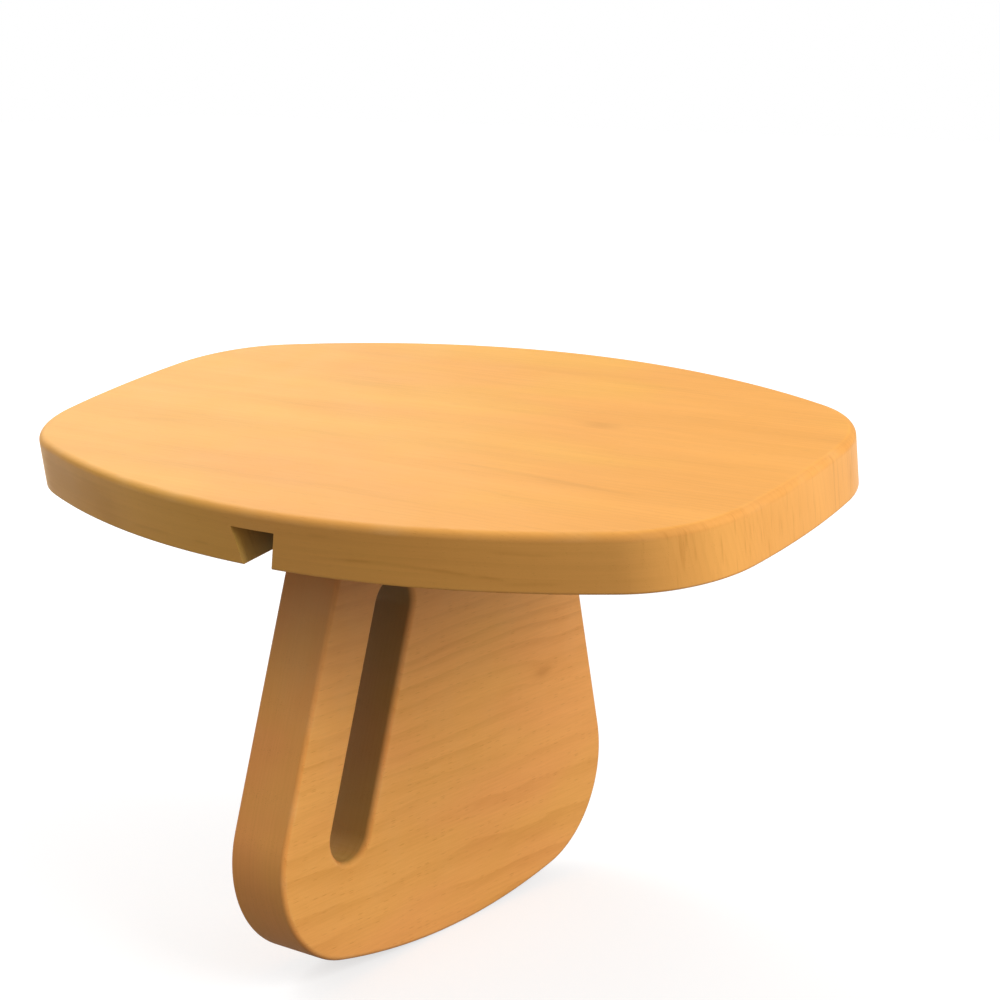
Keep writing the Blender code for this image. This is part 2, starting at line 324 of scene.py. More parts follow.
def raised(points, height):
    """Points of a plan at a height."""
    return [point.to_3d() + Vector((0, 0, height)) for point in points]


def quarter_round(radius):
    """(rise, inset) pairs up a rounded edge, from a board's face to the side square to it."""
    pairs = []
    for step in range(ROUNDING_SEGMENTS + 1):
        angle = math.pi / 2 * step / ROUNDING_SEGMENTS
        pairs.append((radius * (1 - math.cos(angle)), radius * (1 - math.sin(angle))))
    return pairs


def rim_profile(thickness, lower_rounding, upper_rounding):
    """(height, inset) pairs up a board's edge, from the flat of one cap to that of the other."""
    profile = [(0, lower_rounding + HOLD_WIDTH)]
    profile += quarter_round(lower_rounding)
    profile.append((lower_rounding + HOLD_WIDTH, 0))
    profile.append((thickness - upper_rounding - HOLD_WIDTH, 0))
    profile += [(thickness - rise, inset) for rise, inset in reversed(quarter_round(upper_rounding))]
    profile.append((thickness, upper_rounding + HOLD_WIDTH))
    return profile


def seat_outline(inset):
    """The seat's outline in its own plane, drawn in by the inset, counter-clockwise."""
    end_centre = Vector((SEAT_LENGTH / 2 - SEAT_END_RADIUS, 0))
    side_centre = Vector((0, SEAT_WIDTH / 2 - SEAT_SIDE_RADIUS))
    from_end = SEAT_END_RADIUS - SEAT_CORNER_RADIUS
    from_side = SEAT_SIDE_RADIUS - SEAT_CORNER_RADIUS
    apart = side_centre - end_centre
    along = (apart.length_squared + from_end**2 - from_side**2) / (2 * apart.length)
    across = math.sqrt(from_end**2 - along**2)
    unit = apart.normalized()
    corner = end_centre + along * unit + across * Vector((-unit.y, unit.x))
    end_angle = direction_angle(corner - end_centre)
    side_angle = direction_angle(corner - side_centre)
    quarter = arc(end_centre, SEAT_END_RADIUS - inset, 0, end_angle, END_SEGMENTS)
    quarter += arc(corner, SEAT_CORNER_RADIUS - inset, end_angle, side_angle, CORNER_SEGMENTS)[1:]
    quarter += arc(side_centre, SEAT_SIDE_RADIUS - inset, side_angle, math.pi / 2, SIDE_SEGMENTS)[1:]
    half = quarter + [Vector((-point.x, point.y)) for point in reversed(quarter[:-1])]
    return half[:-1] + [-point for point in half[:-1]]


def slope_direction():
    """Unit vector up the seat's slope, in the leg's (Y, Z) plane."""
    return Vector((math.cos(SEAT_TILT), math.sin(SEAT_TILT)))


def slope_normal():
    """Unit vector square to the seat, in the leg's (Y, Z) plane."""
    return Vector((-math.sin(SEAT_TILT), math.cos(SEAT_TILT)))


def seat_centre():
    """The middle of the seat's underside, in the leg's plane, from the foot's lowest point."""
    return Vector((-FOOT_OFFSET, SEAT_HEIGHT))


def foot_centre():
    """The centre of the foot's arc."""
    return Vector((0, math.sqrt(FOOT_RADIUS**2 - (FOOT_LEVEL_LENGTH / 2) ** 2)))


def leg_side(sign, lean, corner_radius):
    """One edge of the leg: its shoulder point, directions and foot corner. The low edge is -1."""
    down = Vector((sign * math.sin(lean), -math.cos(lean)))
    inward = Vector((-sign * math.cos(lean), -math.sin(lean)))
    shoulder = seat_centre() - FIT_CLEARANCE * slope_normal()
    shoulder += sign * LEG_TOP_LENGTH / 2 * slope_direction()
    offset = shoulder + corner_radius * inward - foot_centre()
    reach = FOOT_RADIUS - corner_radius
    along = offset.dot(down)
    travel = math.sqrt(along**2 - offset.length_squared + reach**2) - along
    corner = foot_centre() + offset + travel * down
    return {
        "shoulder": shoulder,
        "down": down,
        "inward": inward,
        "corner": corner,
        "edge_angle": direction_angle(-inward),
        "foot_angle": direction_angle(corner - foot_centre()),
    }


LOW_SIDE = leg_side(-1, LEG_LOW_LEAN, FOOT_LOW_CORNER)
HIGH_SIDE = leg_side(1, LEG_HIGH_LEAN, FOOT_HIGH_CORNER)


def leg_top(side, inset):
    """Where an edge, drawn in by the inset, meets the top of the tail."""
    rise = GROOVE_DEPTH / side["down"].dot(slope_normal())
    drift = side["inward"].dot(slope_normal()) / side["down"].dot(slope_normal())
    return side["shoulder"] + inset * side["inward"] + (rise - inset * drift) * side["down"]


def leg_outline(inset):
    """The leg's outline with its tail, drawn in by the inset all round but for the tail's top."""
    straight_down = 3 * math.pi / 2
    half_level = math.asin(FOOT_LEVEL_LENGTH / 2 / FOOT_RADIUS)
    low_radius = FOOT_LOW_CORNER - inset
    high_radius = FOOT_HIGH_CORNER - inset
    foot_radius = FOOT_RADIUS - inset
    points = [leg_top(LOW_SIDE, inset)]
    points += arc(LOW_SIDE["corner"], low_radius, LOW_SIDE["edge_angle"], LOW_SIDE["foot_angle"],
                  CORNER_SEGMENTS)
    points += arc(foot_centre(), foot_radius, LOW_SIDE["foot_angle"], straight_down - half_level,
                  FOOT_SEGMENTS)[1:]
    points += arc(foot_centre(), foot_radius, straight_down + half_level, HIGH_SIDE["foot_angle"],
                  FOOT_SEGMENTS)
    points += arc(HIGH_SIDE["corner"], high_radius, HIGH_SIDE["foot_angle"],
                  HIGH_SIDE["edge_angle"] + math.tau, CORNER_SEGMENTS)[1:]
    points.append(leg_top(HIGH_SIDE, inset))
    return points


def slot_axis():
    """The middles of the slot's round ends, in the leg's drawing, and their radius."""
    radius = SLOT_WIDTH / 2
    axis_start = LOW_SIDE["shoulder"] + (SLOT_BAR_WIDTH + radius) * LOW_SIDE["inward"]
    high_end = axis_start + (SLOT_TOP_DROP + radius) * LOW_SIDE["down"]
    low_end = axis_start + (SLOT_TOP_DROP + SLOT_LENGTH - radius) * LOW_SIDE["down"]
    return low_end, high_end, radius


def capsule_outline(low_end, high_end, radius):
    """A slot's outline with round ends, counter-clockwise."""
    heading = direction_angle(high_end - low_end)
    quarter_turn = math.pi / 2
    points = arc(high_end, radius, heading - quarter_turn, heading + quarter_turn, SLOT_SEGMENTS)
    points += arc(low_end, radius, heading + quarter_turn, heading + 3 * quarter_turn, SLOT_SEGMENTS)
    return points


def rectangle(half_x, half_y):
    """A rectangle's corners about the middle, counter-clockwise."""
    return [Vector((-half_x, -half_y)), Vector((half_x, -half_y)), Vector((half_x, half_y)),
            Vector((-half_x, half_y))]


def dovetail_half_width(height):
    """Half the groove's width at a height above the seat's underside."""
    return GROOVE_NECK_WIDTH / 2 + height * math.tan(DOVETAIL_FLANK)


def dovetail_ring(height, start, inset):
    """The dovetail's plan at one height: straight flanks and the half-round end of the bit.

    The flanks have a point where the groove's shade ends, for the shade's values.
    """
    half_width = dovetail_half_width(height) - inset
    end_y = LEG_TOP_LENGTH / 2 - TAIL_END_SHOULDER - dovetail_half_width(GROOVE_DEPTH)
    shade_end = GROOVE_SHADE_DEPTH - SEAT_WIDTH / 2
    plan = [Vector((half_width, start)), Vector((half_width, shade_end))]
    plan += arc(Vector((0, end_y)), half_width, 0, math.pi, SLOT_SEGMENTS)
    plan += [Vector((-half_width, shade_end)), Vector((-half_width, start))]
    return raised(plan, height)


def seat_datum():
    """From the seat's own frame, at the middle of its underside, to the world."""
    normal = slope_normal()
    mounts = {mount["name"]: mount for mount in frame["record"]["mounts"]}
    top = Vector(mounts["seat_top"]["pos_m"])
    origin = top - SEAT_THICKNESS * Vector((0, normal.x, normal.y))
    return Matrix.Translation(origin) @ Matrix.Rotation(SEAT_TILT, 4, "X")


def leg_datum():
    """From the leg's (Y, Z) drawing, whose thickness is along its own Z, to the world."""
    foot_y = seat_datum().translation.y - seat_centre().x
    upright = Euler((math.pi / 2, 0, math.pi / 2)).to_matrix().to_4x4()
    return Matrix.Translation((0, foot_y, 0)) @ upright


SEAT_DATUM = seat_datum()
LEG_DATUM = leg_datum()


def lofted(name, rings):
    """A closed solid through rings of points that all have the same count."""
    shape = bmesh.new()
    loops = [[shape.verts.new(point) for point in ring] for ring in rings]
    count = len(rings[0])
    for lower, upper in zip(loops, loops[1:]):
        for index in range(count):
            following = (index + 1) % count
            shape.faces.new((lower[index], lower[following], upper[following], upper[index]))
    shape.faces.new(list(reversed(loops[0])))
    shape.faces.new(loops[-1])
    bmesh.ops.recalc_face_normals(shape, faces=shape.faces)
    mesh = bpy.data.meshes.new(name)
    shape.to_mesh(mesh)
    shape.free()
    item = bpy.data.objects.new(name, mesh)
    bpy.context.scene.collection.objects.link(item)
    return item


def cut(target, *cutters):
    """Take the cutters' shapes out of the target, for good, and remove the cutters."""
    for cutter in cutters:
        modifier = target.modifiers.new(cutter.name, "BOOLEAN")
        modifier.operation = "DIFFERENCE"
        modifier.solver = "EXACT"
        modifier.object = cutter
    bpy.context.view_layer.update()
    evaluated = target.evaluated_get(bpy.context.evaluated_depsgraph_get())
    mesh = bpy.data.meshes.new_from_object(evaluated)
    clean_cuts(mesh)
    target.modifiers.clear()
    old = target.data
    target.data = mesh
    bpy.data.meshes.remove(old)
    mesh.name = target.name
    for cutter in cutters:
        bpy.data.objects.remove(cutter, do_unlink=True)


def clean_cuts(mesh):
    """Clear the slivers that a cut leaves, and split its many-sided faces without folds."""
    shape = bmesh.new()
    shape.from_mesh(mesh)
    bmesh.ops.remove_doubles(shape, verts=shape.verts, dist=WELD_DISTANCE)
    bmesh.ops.dissolve_degenerate(shape, edges=shape.edges, dist=WELD_DISTANCE)
    many_sided = [face for face in shape.faces if len(face.verts) > 4]
    bmesh.ops.triangulate(shape, faces=many_sided, ngon_method="BEAUTY")
    shape.to_mesh(mesh)
    shape.free()


def to_world(item, matrix):
    """Move a mesh's points for good, so that its object stays at the origin."""
    item.data.transform(matrix)
    item.data.update()


def build_seat():
    """The seat board with its groove, in place."""
    profile = rim_profile(SEAT_THICKNESS, SEAT_BOTTOM_ROUNDING, SEAT_TOP_ROUNDING)
    seat = lofted("seat_board_wood", [raised(seat_outline(inset), height) for height, inset in profile])

    start = -SEAT_WIDTH / 2 - CUT_PAST
    levels = [(-CUT_PAST, GROOVE_EASING + CUT_PAST * math.tan(DOVETAIL_FLANK))]
    levels += quarter_round(GROOVE_EASING)
    levels.append((GROOVE_DEPTH, 0))
    groove = lofted("groove", [dovetail_ring(height, start, -flare) for height, flare in levels])
    cut(seat, groove)
    to_world(seat, SEAT_DATUM)
    return seat


def slot_cutter():
    """The hand slot's shape with its flared rims, in the world."""
    low_end, high_end, radius = slot_axis()
    upper = [(LEG_THICKNESS / 2 + CUT_PAST, SLOT_ROUNDING)]
    upper += [(LEG_THICKNESS / 2 - rise, flare) for rise, flare in quarter_round(SLOT_ROUNDING)]
    levels = [(-level, flare) for level, flare in upper] + list(reversed(upper))
    rings = [raised(capsule_outline(low_end, high_end, radius + flare), level) for level, flare in levels]
    slot = lofted("slot", rings)
    to_world(slot, LEG_DATUM)
    return slot


def tail_waste():
    """What is cut away round the leg's dovetail tail, in the world."""
    half_width = LEG_THICKNESS / 2 + CUT_PAST
    half_length = LEG_TOP_LENGTH / 2 + 2 * CUT_PAST
    top = GROOVE_DEPTH + CUT_PAST
    plan = rectangle(half_width, half_length)
    waste = lofted("waste", [raised(plan, level) for level in (-FIT_CLEARANCE, top)])
    inset = FIT_CLEARANCE / math.cos(DOVETAIL_FLANK)
    levels = (-FIT_CLEARANCE - CUT_PAST, top + CUT_PAST)
    tail = lofted("tail", [dovetail_ring(level, -2 * half_length, inset) for level in levels])
    cut(waste, tail)
    to_world(waste, SEAT_DATUM)
    return waste


def build_leg():
    """The leg board with its hand slot and tail, in place."""
    rings = []
    for height, inset in rim_profile(LEG_THICKNESS, LEG_ROUNDING, LEG_ROUNDING):
        rings.append(raised(leg_outline(inset), height - LEG_THICKNESS / 2))
    leg = lofted("leg_board_wood", rings)
    to_world(leg, LEG_DATUM)
    cut(leg, slot_cutter(), tail_waste())
    return leg


# Painted shade in the seat's groove, for each point
def groove_shade(point, centre):
    """0 outside the seat's groove, 1 on its ceiling, and rising inwards to 1 on its walls."""
    to_seat = SEAT_DATUM.inverted()
    middle = to_seat @ centre
    half_width = dovetail_half_width(middle.z) + WELD_DISTANCE
    deep_half_width = dovetail_half_width(GROOVE_DEPTH)
    groove_end = LEG_TOP_LENGTH / 2 - TAIL_END_SHOULDER
    beside = abs(middle.x) > half_width or middle.y > groove_end - deep_half_width + half_width
    if beside or not WELD_DISTANCE < middle.z < GROOVE_DEPTH + WELD_DISTANCE:
        return 0.0
    if middle.z > GROOVE_DEPTH - WELD_DISTANCE:
        return 1.0
    depth = (to_seat @ point).y + SEAT_WIDTH / 2
    return min(SHALLOW_RECESS_SHADE + (1 - SHALLOW_RECESS_SHADE) * max(depth, 0) / GROOVE_SHADE_DEPTH, 1)


# Painted shade in the leg's hand slot, for each point
def slot_shade(point, centre):
    """0 on the leg's faces, rising over the slot's rounded rims to 1 on its walls."""
    middle = LEG_DATUM.inverted() @ centre
    low_end, high_end, radius = slot_axis()
    along = (high_end - low_end).normalized()
    reach = min(max((middle.to_2d() - low_end).dot(along), 0), (high_end - low_end).length)
    if (middle.to_2d() - low_end - reach * along).length > radius + SLOT_ROUNDING:
        return 0.0
    depth = LEG_THICKNESS / 2 - abs(point.x)
    return min(max(depth / SLOT_ROUNDING, 0), 1)


# The painted shade of the recesses, stored for the wood
def note_recess_shade(item, inside):
    """Store how far each corner of each face is inside a cut recess, from 0 to 1."""
    attribute = item.data.attributes.new("recess", "FLOAT", "CORNER")
    values = []
    for face in item.data.polygons:
        for vertex in face.vertices:
            values.append(inside(item.data.vertices[vertex].co, face.center))
    attribute.data.foreach_set("value", values)


def note_edges(item):
    """Store how much each point lies on a rounded or sharp edge, from 0 on a flat to 1."""
    shape = bmesh.new()
    shape.from_mesh(item.data)
    values = []
    for vertex in shape.verts:
        bend = max((edge.calc_face_angle(0) for edge in vertex.link_edges), default=0)
        values.append(min(max((bend - FLAT_BEND) / (ROUNDED_BEND - FLAT_BEND), 0), 1))
    shape.free()
    attribute = item.data.attributes.new("edge_wear", "FLOAT", "POINT")
    attribute.data.foreach_set("value", values)


def finish_board(item, body, node, material, inside):
    """Shade, dress and hand over one board."""
    note_recess_shade(item, inside)
    item.data.shade_smooth()
    item.data.set_sharp_from_angle(angle=SHARP_BEND)
    note_edges(item)
    item.data.materials.clear()
    item.data.materials.append(material)
    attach(item, body)
    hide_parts(node)


class Nodes:
    """Short names for building the nodes of a material or a world."""

    # The mix node's two inputs and its output, by what it mixes
    MIX_SOCKETS = {"FLOAT": (2, 3, 0), "RGBA": (6, 7, 2)}

    def __init__(self, tree):
        self.tree = tree

    def new(self, kind, inputs=(), **settings):
        node = self.tree.nodes.new(kind)
        for name, value in settings.items():
            setattr(node, name, value)
        for name, value in dict(inputs).items():
            self.put(node.inputs[name], value)
        return node

    def put(self, socket, value):
        if isinstance(value, bpy.types.NodeSocket):
            self.tree.links.new(value, socket)
        else:
            socket.default_value = value

    def math(self, operation, *values, clamp=False):
        node = self.new("ShaderNodeMath", operation=operation, use_clamp=clamp)
        for socket, value in zip(node.inputs, values):
            self.put(socket, value)
        return node.outputs[0]

    def add(self, first, *others):
        total = first
        for other in others:
            total = self.math("ADD", total, other)
        return total

    def times(self, first, *others):
        product = first
        for other in others:
            product = self.math("MULTIPLY", product, other)
        return product

    def vector(self, operation, *values):
        node = self.new("ShaderNodeVectorMath", operation=operation)
        for socket, value in zip(node.inputs, values):
            self.put(socket, value)
        return node.outputs["Value" if operation in ("LENGTH", "DOT_PRODUCT") else "Vector"]

    def combined(self, x, y, z):
        return self.new("ShaderNodeCombineXYZ", {"X": x, "Y": y, "Z": z}).outputs["Vector"]

    def noise(self, position, detail, roughness):
        """Noise about 0, from about -0.5 to 0.5. The position is in cells of the noise."""
        node = self.new("ShaderNodeTexNoise", {"Vector": position, "Scale": 1.0, "Detail": detail,
                                               "Roughness": roughness})
        return self.math("SUBTRACT", node.outputs["Fac"], 0.5)

    def stretched(self, position, cell, offset):
        """The position in cells that are this many millimetres long, wide and deep."""
        scaled = self.vector("DIVIDE", position, cell)
        return self.vector("ADD", scaled, (offset, 2 * offset, 3 * offset))

    def map(self, value, low, high, out_low=0.0, out_high=1.0):
        node = self.new("ShaderNodeMapRange", {"Value": value, "From Min": low, "From Max": high,
                                               "To Min": out_low, "To Max": out_high},
                        interpolation_type="SMOOTHSTEP")
        return node.outputs["Result"]

    def mixed(self, share, first, second, data_type="RGBA", blend_type="MIX"):
        node = self.new("ShaderNodeMix", data_type=data_type, blend_type=blend_type)
        first_socket, second_socket, result = self.MIX_SOCKETS[data_type]
        self.put(node.inputs[0], share)
        self.put(node.inputs[first_socket], first)
        self.put(node.inputs[second_socket], second)
        return node.outputs[result]

    def tinted(self, share, colour, tint):
        """The colour, with a share of it multiplied by the tint."""
        return self.mixed(share, colour, tint, blend_type="MULTIPLY")

    def bell(self, value):
        """1 at 0, falling smoothly to 0 at about 2 either way."""
        return self.math("EXPONENT", self.times(value, value, -1))

    def stored(self, name):
        """A value that is stored in the mesh."""
        return self.new("ShaderNodeAttribute", attribute_name=name).outputs["Fac"]


class Board:
    """A point of a board's surface, as sockets: where it lies in the board and how it faces.

    The wave and the ripple are the two noises that bend the growth rings there.
    """

    def __init__(self, nodes, datum, offset):
        self.nodes = nodes
        self.datum = datum
        self.offset = offset
        coordinates = nodes.new("ShaderNodeTexCoord")
        self.normal = coordinates.outputs["Normal"]
        mapping = nodes.new("ShaderNodeMapping", {"Vector": coordinates.outputs["Object"],
                                                  "Location": datum.translation,
                                                  "Rotation": datum.to_euler(),
                                                  "Scale": MILLIMETRES}, vector_type="TEXTURE")
        self.position = mapping.outputs["Vector"]
        parts = nodes.new("ShaderNodeSeparateXYZ", {"Vector": self.position}).outputs
        self.x = parts["X"]
        self.y = parts["Y"]
        self.z = parts["Z"]
        self.wave = self.noise(WAVE)
        self.ripple = self.noise(RIPPLE)

    def noise(self, kind):
        """One of the noises of the wood."""
        cell, shift, detail, roughness = kind
        cells = self.nodes.stretched(self.position, cell, self.offset + shift)
        return self.nodes.noise(cells, detail, roughness)

    def facing(self, axis, low, high):
        """How squarely the surface faces along one axis of the board, either way, from 0 to 1."""
        world_axis = (self.datum.to_3x3() @ Vector(axis)).normalized()
        squareness = self.nodes.math("ABSOLUTE", self.nodes.vector("DOT_PRODUCT", self.normal, world_axis))
        return self.nodes.map(squareness, low, high)


def knot_shape(nodes, position, knot):
    """A pin knot: 1 in its middle, falling to 0 round it."""
    x, y, size = knot
    weighed = nodes.vector("MULTIPLY", nodes.vector("SUBTRACT", position, (x, y, 0)), KNOT_WEIGHTS)
    return nodes.bell(nodes.math("DIVIDE", nodes.vector("LENGTH", weighed), size))


def streak_shape(nodes, along, across, waver, streak):
    """A dark streak from start to end, bowed sideways, with faded ends: 1 in its middle line."""
    (start, start_across), (end, end_across), bow, width = streak
    share = nodes.math("DIVIDE", nodes.math("SUBTRACT", along, start), end - start)
    rest = nodes.math("SUBTRACT", 1, share)
    middle = nodes.add(start_across, nodes.times(share, end_across - start_across),
                       nodes.times(share, rest, 4 * bow), nodes.times(waver, STREAK_WAVER * width))
    away = nodes.math("DIVIDE", nodes.math("SUBTRACT", across, middle), width)
    return nodes.times(nodes.bell(away), nodes.map(share, 0, STREAK_FADE), nodes.map(rest, 0, STREAK_FADE))


def ring_noise(nodes, along, radius, offset, kind):
    """Noise along the board and across its growth rings."""
    length, width, shift, detail, roughness = kind
    plan = nodes.combined(nodes.math("DIVIDE", along, length), nodes.math("DIVIDE", radius, width),
                          offset + shift)
    return nodes.noise(plan, detail, roughness)


def year_tone(nodes, along, radius, ring_width, shares, offset):
    """Late wood lines at each year's end, and broader bands of some years."""
    line_share, band_share = shares
    season = nodes.noise(nodes.combined(nodes.math("DIVIDE", radius, SEASON_CELL), offset, 0),
                         SEASON_DETAIL, SEASON_ROUGHNESS)
    uneven = nodes.add(radius, nodes.times(season, SEASON_SPREAD))
    phase = nodes.math("FRACT", nodes.math("DIVIDE", uneven, ring_width))
    late = nodes.times(nodes.map(phase, *LATE_WOOD_RISE), nodes.map(phase, *LATE_WOOD_FALL))
    strength = nodes.map(ring_noise(nodes, along, radius, offset, LINES), *LINE_STRENGTH)
    bands = ring_noise(nodes, along, radius, offset, BANDS)
    return nodes.add(nodes.times(late, strength, line_share), nodes.times(bands, band_share))


def growth_tone(nodes, board, quiet, look):
    """Growth rings with their knots and streaks, and plain lines and streaks on the quiet sides."""
    from_pith = nodes.vector("SUBTRACT", board.position, (0, *look["pith"]))
    radius = nodes.vector("LENGTH", nodes.vector("MULTIPLY", from_pith, (0, 1, 1)))
    radius = nodes.add(radius, nodes.times(board.wave, look["wave"]), nodes.times(board.ripple, RING_RIPPLE))
    marks = 0.0
    for knot, swell, darkness in look["knots"]:
        shape = knot_shape(nodes, board.position, knot)
        radius = nodes.add(radius, nodes.times(shape, swell))
        marks = nodes.add(marks, nodes.times(nodes.math("POWER", shape, KNOT_CORE), darkness))
    years = year_tone(nodes, board.x, radius, look["ring_width"], look["year_shares"], board.offset)

    level = nodes.add(board.z, nodes.times(board.wave, QUIET_WAVE), nodes.times(board.ripple, QUIET_RIPPLE))
    quiet_years = year_tone(nodes, board.x, level, look["quiet_width"], look["quiet_shares"],
                            board.offset + QUIET_SHIFT)
    # Most streaks are darker wood, and a streak may also be painted shade
    for streak, darkness, on_quiet in look["streaks"]:
        across = board.z if on_quiet else board.y
        shape = nodes.times(streak_shape(nodes, board.x, across, board.ripple, streak), darkness)
        if on_quiet:
            quiet_years = nodes.add(quiet_years, shape)
        else:
            marks = nodes.add(marks, shape)
    return nodes.mixed(quiet, nodes.add(years, marks), quiet_years, data_type="FLOAT")


def fibre_tone(nodes, board, quiet, look):
    """Fibres along the board, fainter on the end grain."""
    fibres = nodes.mixed(quiet, board.noise(look["fibres"]), board.noise(QUIET_FIBRES), data_type="FLOAT")
    ends = board.facing(END_AXIS, *END_FIBRE_FACING)
    return nodes.times(fibres, nodes.map(ends, 0, 1, 1.0, look["end_fibre"]))


def pore_tone(nodes, board):
    """Short dark pores, in some of the cells between the fibres."""
    cells = nodes.new("ShaderNodeTexVoronoi",
                      {"Vector": nodes.stretched(board.position, PORE_CELL, board.offset), "Scale": 1.0,
                       "Randomness": 1.0})
    picked = nodes.new("ShaderNodeSeparateColor", {"Color": cells.outputs["Color"]}).outputs["Red"]
    return nodes.times(nodes.map(cells.outputs["Distance"], *PORE_RANGE), nodes.map(picked, *PORE_PICK))


def bare_colour(nodes, board, look, years, fibres, pores):
    """The wood's own colour, from light to dark by its tone, with warmer patches."""
    hairs = board.noise(HAIRS)
    strokes = nodes.times(nodes.map(board.noise(STROKES), *STROKE_RANGE),
                          board.facing(END_AXIS, *STROKE_FACING))
    tone = nodes.add(years, nodes.times(board.ripple, RIPPLE_SHARE), nodes.times(fibres, look["fibre_share"]),
                     nodes.times(hairs, HAIR_SHARE), nodes.times(pores, look["pore_share"]),
                     nodes.times(strokes, look["end_strokes"]))
    tone = nodes.math("ADD", tone, BASE_TONE, clamp=True)
    colour = nodes.mixed(tone, look["light"], look["dark"])
    warm = nodes.add(board.noise(CLOUD), nodes.times(board.x, look["warming"]))
    warm = nodes.map(warm, *WARM_RANGE)
    hue = nodes.new("ShaderNodeHueSaturation", {"Hue": nodes.map(warm, 0, 1, *WARM_HUE),
                                                "Saturation": nodes.map(warm, 0, 1, *WARM_SATURATION),
                                                "Color": colour})
    return hue.outputs["Color"]


def finished_colour(nodes, board, look, colour, wear):
    """The colour after the finish and use.

    End faces get a tint that is partly the end grain's own colour and partly painted light for how
    they are lit, and rounded-over end grain gets painted shade against the highlight there. Handled
    edges are a little paler. The leg next to the seat gets painted shade, most on its ends. The cut
    recesses get painted shade, dark in their depth, and the seat's groove a painted paler, greyer
    tint near its mouth.
    """
    # Painted shade on rounded-over end grain, which takes out the highlight that the lamps give it
    rounded_end_shade = nodes.times(wear, board.facing(END_AXIS, *ROUNDED_END_FACING))
    colour = nodes.tinted(rounded_end_shade, colour, ROUNDED_END_SHADE_TINT)
    # End faces: a tint that is partly the end grain's own colour and partly painted light for how they are
    # lit
    ended = board.facing(END_AXIS, *END_FACING)
    colour = nodes.tinted(ended, colour, look["end_grain_and_light_tint"])
    worn = nodes.times(wear, nodes.map(board.noise(WORN_PATCHES), *WORN_SHARE))
    colour = nodes.mixed(worn, colour, WORN_WOOD)
    # Painted shade on the leg where the seat shades it, stronger on the leg's narrow ends
    if look["under_seat_shade"]:
        (low, high), share, plain = look["under_seat_shade"]
        under_seat_shade = nodes.times(nodes.map(board.y, low, high, 0, share),
                              nodes.map(ended, 0, 1, 1.0, UNDER_SEAT_SHADE_END_SHARE))
        colour = nodes.mixed(under_seat_shade, colour, plain)
    # Painted shade in the cut recesses, darkest deep inside. On the seat, painted light makes the groove's
    # walls paler and greyer near its mouth.
    recess = nodes.stored("recess")
    into_shallow = nodes.math("DIVIDE", recess, SHALLOW_RECESS_SHADE, clamp=True)
    into_deep = nodes.math("DIVIDE", nodes.math("SUBTRACT", recess, SHALLOW_RECESS_SHADE), 1 - SHALLOW_RECESS_SHADE,
                           clamp=True)
    shallow, deep = look["recess_shade_tints"]
    return nodes.tinted(into_shallow, colour, nodes.mixed(into_deep, shallow, deep))


def lacquer(nodes, board, shader, years, fibres, pores, wear):
    """Satin lacquer over sanded wood."""
    roughness = nodes.add(nodes.times(board.noise(SMUDGES), SMUDGE_ROUGHNESS), ROUGHNESS,
                          nodes.times(fibres, FIBRE_ROUGHNESS))
    roughness = nodes.math("ADD", roughness, nodes.times(wear, WORN_ROUGHNESS), clamp=True)
    nodes.put(shader.inputs["Roughness"], roughness)
    relief = nodes.add(nodes.times(fibres, FIBRE_RELIEF), nodes.times(years, YEAR_RELIEF),
                       nodes.times(pores, PORE_RELIEF))
    bump = nodes.new("ShaderNodeBump", {"Strength": RELIEF_STRENGTH, "Distance": RELIEF_DEPTH,
                                        "Height": relief})
    nodes.put(shader.inputs["Normal"], bump.outputs["Normal"])
    shader.inputs["Metallic"].default_value = 0.0
    shader.inputs["IOR"].default_value = WOOD_IOR
    shader.inputs["Specular IOR Level"].default_value = WOOD_SPECULAR_LEVEL
    shader.inputs["Coat Weight"].default_value = COAT_WEIGHT
    shader.inputs["Coat Roughness"].default_value = COAT_ROUGHNESS


def wood(name, datum, look):
    """Solid wood in a board's own frame: grain along its X, face across Y, thickness along Z."""
    material = bpy.data.materials.new(name)
    material.use_nodes = True
    shader = material.node_tree.nodes["Principled BSDF"]
    nodes = Nodes(material.node_tree)
    board = Board(nodes, datum, look["offset"])
    quiet = board.facing(look["quiet_axis"], *QUIET_FACING)
    years = growth_tone(nodes, board, quiet, look)
    fibres = fibre_tone(nodes, board, quiet, look)
    pores = pore_tone(nodes, board)
    wear = nodes.stored("edge_wear")
    colour = bare_colour(nodes, board, look, years, fibres, pores)
    nodes.put(shader.inputs["Base Color"], finished_colour(nodes, board, look, colour, wear))
    lacquer(nodes, board, shader, years, fibres, pores, wear)
    return material


def softbox(name, azimuth, elevation, width, height, power, mirrored):
    """An area lamp that faces the bench."""
    data = bpy.data.lights.new(name, "AREA")
    data.shape = "RECTANGLE"
    data.size = width
    data.size_y = height
    data.energy = power
    lamp = bpy.data.objects.new(name, data)
    bpy.context.scene.collection.objects.link(lamp)
    azimuth = math.radians(azimuth)
    elevation = math.radians(elevation)
    across = math.cos(elevation)
    outward = Vector((across * math.cos(azimuth), across * math.sin(azimuth), math.sin(elevation)))
    lamp.location = Vector(LIT_POINT) + LAMP_DISTANCE * outward
    lamp.rotation_euler = (-outward).to_track_quat("-Z", "Y").to_euler()
    lamp.visible_glossy = mirrored


def seen_directly(nodes):
    """1 for rays that show a surface as itself, and 0 for those that carry its light."""
    path = nodes.new("ShaderNodeLightPath")
    return nodes.math("MAXIMUM", path.outputs["Is Camera Ray"], path.outputs["Is Transmission Ray"])


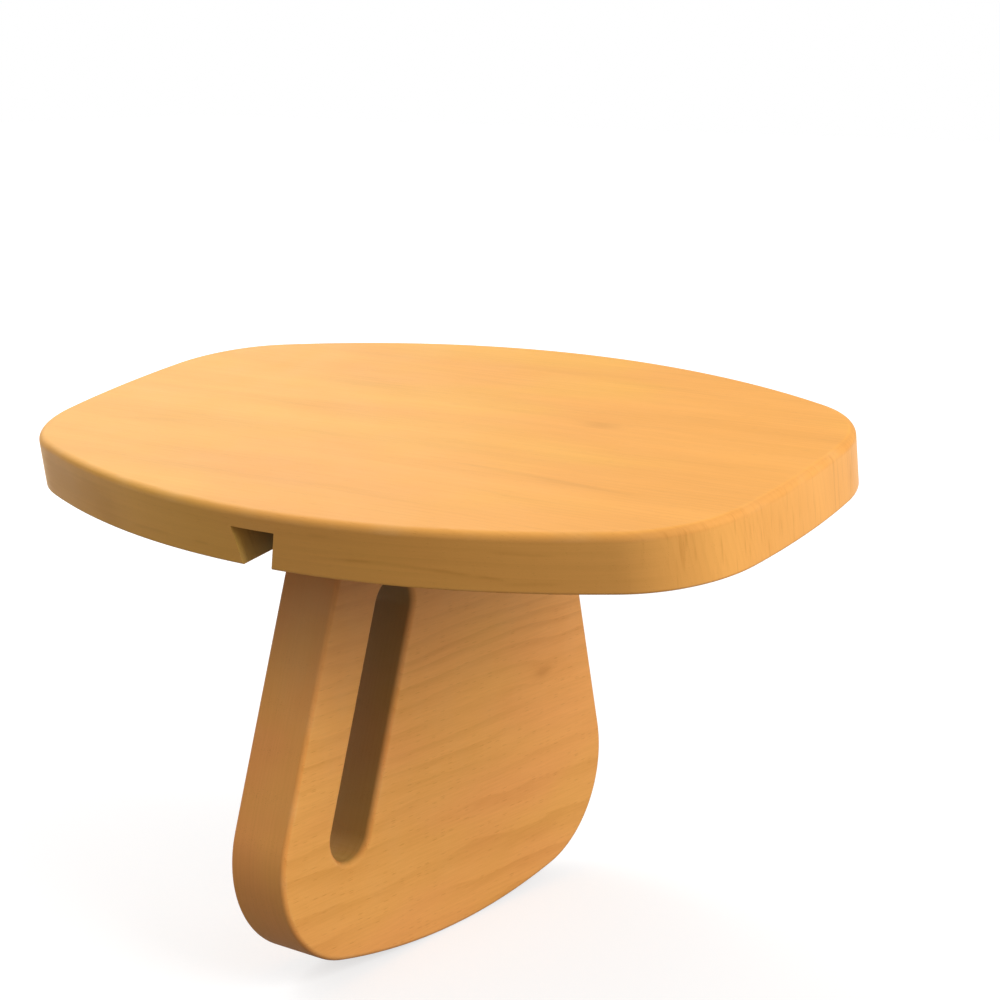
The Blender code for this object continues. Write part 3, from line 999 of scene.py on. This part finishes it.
def build_floor():
    """A plain pale floor that the camera sees as white, with the bench's soft shadow on it."""
    plan = rectangle(FLOOR_HALF_WIDTH, FLOOR_HALF_WIDTH)
    ground = lofted("floor", [raised(plan, level) for level in (FLOOR_BOTTOM, FLOOR_TOP)])
    material = bpy.data.materials.new("pale_floor")
    material.use_nodes = True
    nodes = Nodes(material.node_tree)
    shader = material.node_tree.nodes["Principled BSDF"]
    shader.inputs["Roughness"].default_value = FLOOR_ROUGHNESS
    shader.inputs["Specular IOR Level"].default_value = 0.0
    seen = seen_directly(nodes)
    nodes.put(shader.inputs["Base Color"], nodes.mixed(seen, FLOOR_ALBEDO, FLOOR_SEEN_ALBEDO))
    away = nodes.vector("LENGTH", nodes.new("ShaderNodeTexCoord").outputs["Object"])
    glow = nodes.times(seen, nodes.map(away, *FLOOR_GLOW))
    mirrored = nodes.new("ShaderNodeLightPath").outputs["Is Glossy Ray"]
    sheen = nodes.times(mirrored, nodes.map(away, *FLOOR_SHEEN))
    nodes.put(shader.inputs["Emission Strength"], nodes.add(glow, sheen))
    shader.inputs["Emission Color"].default_value = WHITE
    ground.data.materials.append(material)


def build_world():
    """White where a camera ray meets it, and a gentle plain fill for the rest."""
    world = bpy.data.worlds.new("studio")
    bpy.context.scene.world = world
    world.use_nodes = True
    nodes = Nodes(world.node_tree)
    background = world.node_tree.nodes["Background"]
    background.inputs["Color"].default_value = WHITE
    nodes.put(background.inputs["Strength"], nodes.map(seen_directly(nodes), 0, 1, FILL_STRENGTH, 1.0))


def build_camera():
    """A camera that sees the bench as the photograph does."""
    data = bpy.data.cameras.new("photo_camera")
    data.lens = CAMERA_LENS
    data.sensor_width = CAMERA_SENSOR_WIDTH
    data.clip_start = CAMERA_CLIP_START
    camera = bpy.data.objects.new("photo_camera", data)
    bpy.context.scene.collection.objects.link(camera)
    camera.location = CAMERA_POSITION
    aim = (Vector(CAMERA_AIM) - Vector(CAMERA_POSITION)).to_track_quat("-Z", "Y")
    camera.rotation_euler = (aim.to_matrix() @ Matrix.Rotation(CAMERA_ROLL, 3, "Z")).to_euler()
    bpy.context.scene.camera = camera


build_camera()
build_world()
build_floor()
for settings in SOFTBOXES:
    softbox(*settings)

seat_wood = wood("seat_wood", SEAT_DATUM, SEAT_LOOK)
leg_wood = wood("leg_wood", LEG_DATUM, LEG_LOOK)
finish_board(build_seat(), "seat", "seat_board", seat_wood, groove_shade)
finish_board(build_leg(), "leg", "leg_board", leg_wood, slot_shade)

bpy.context.scene.view_settings.view_transform = "Standard"

bpy.context.view_layer.update()
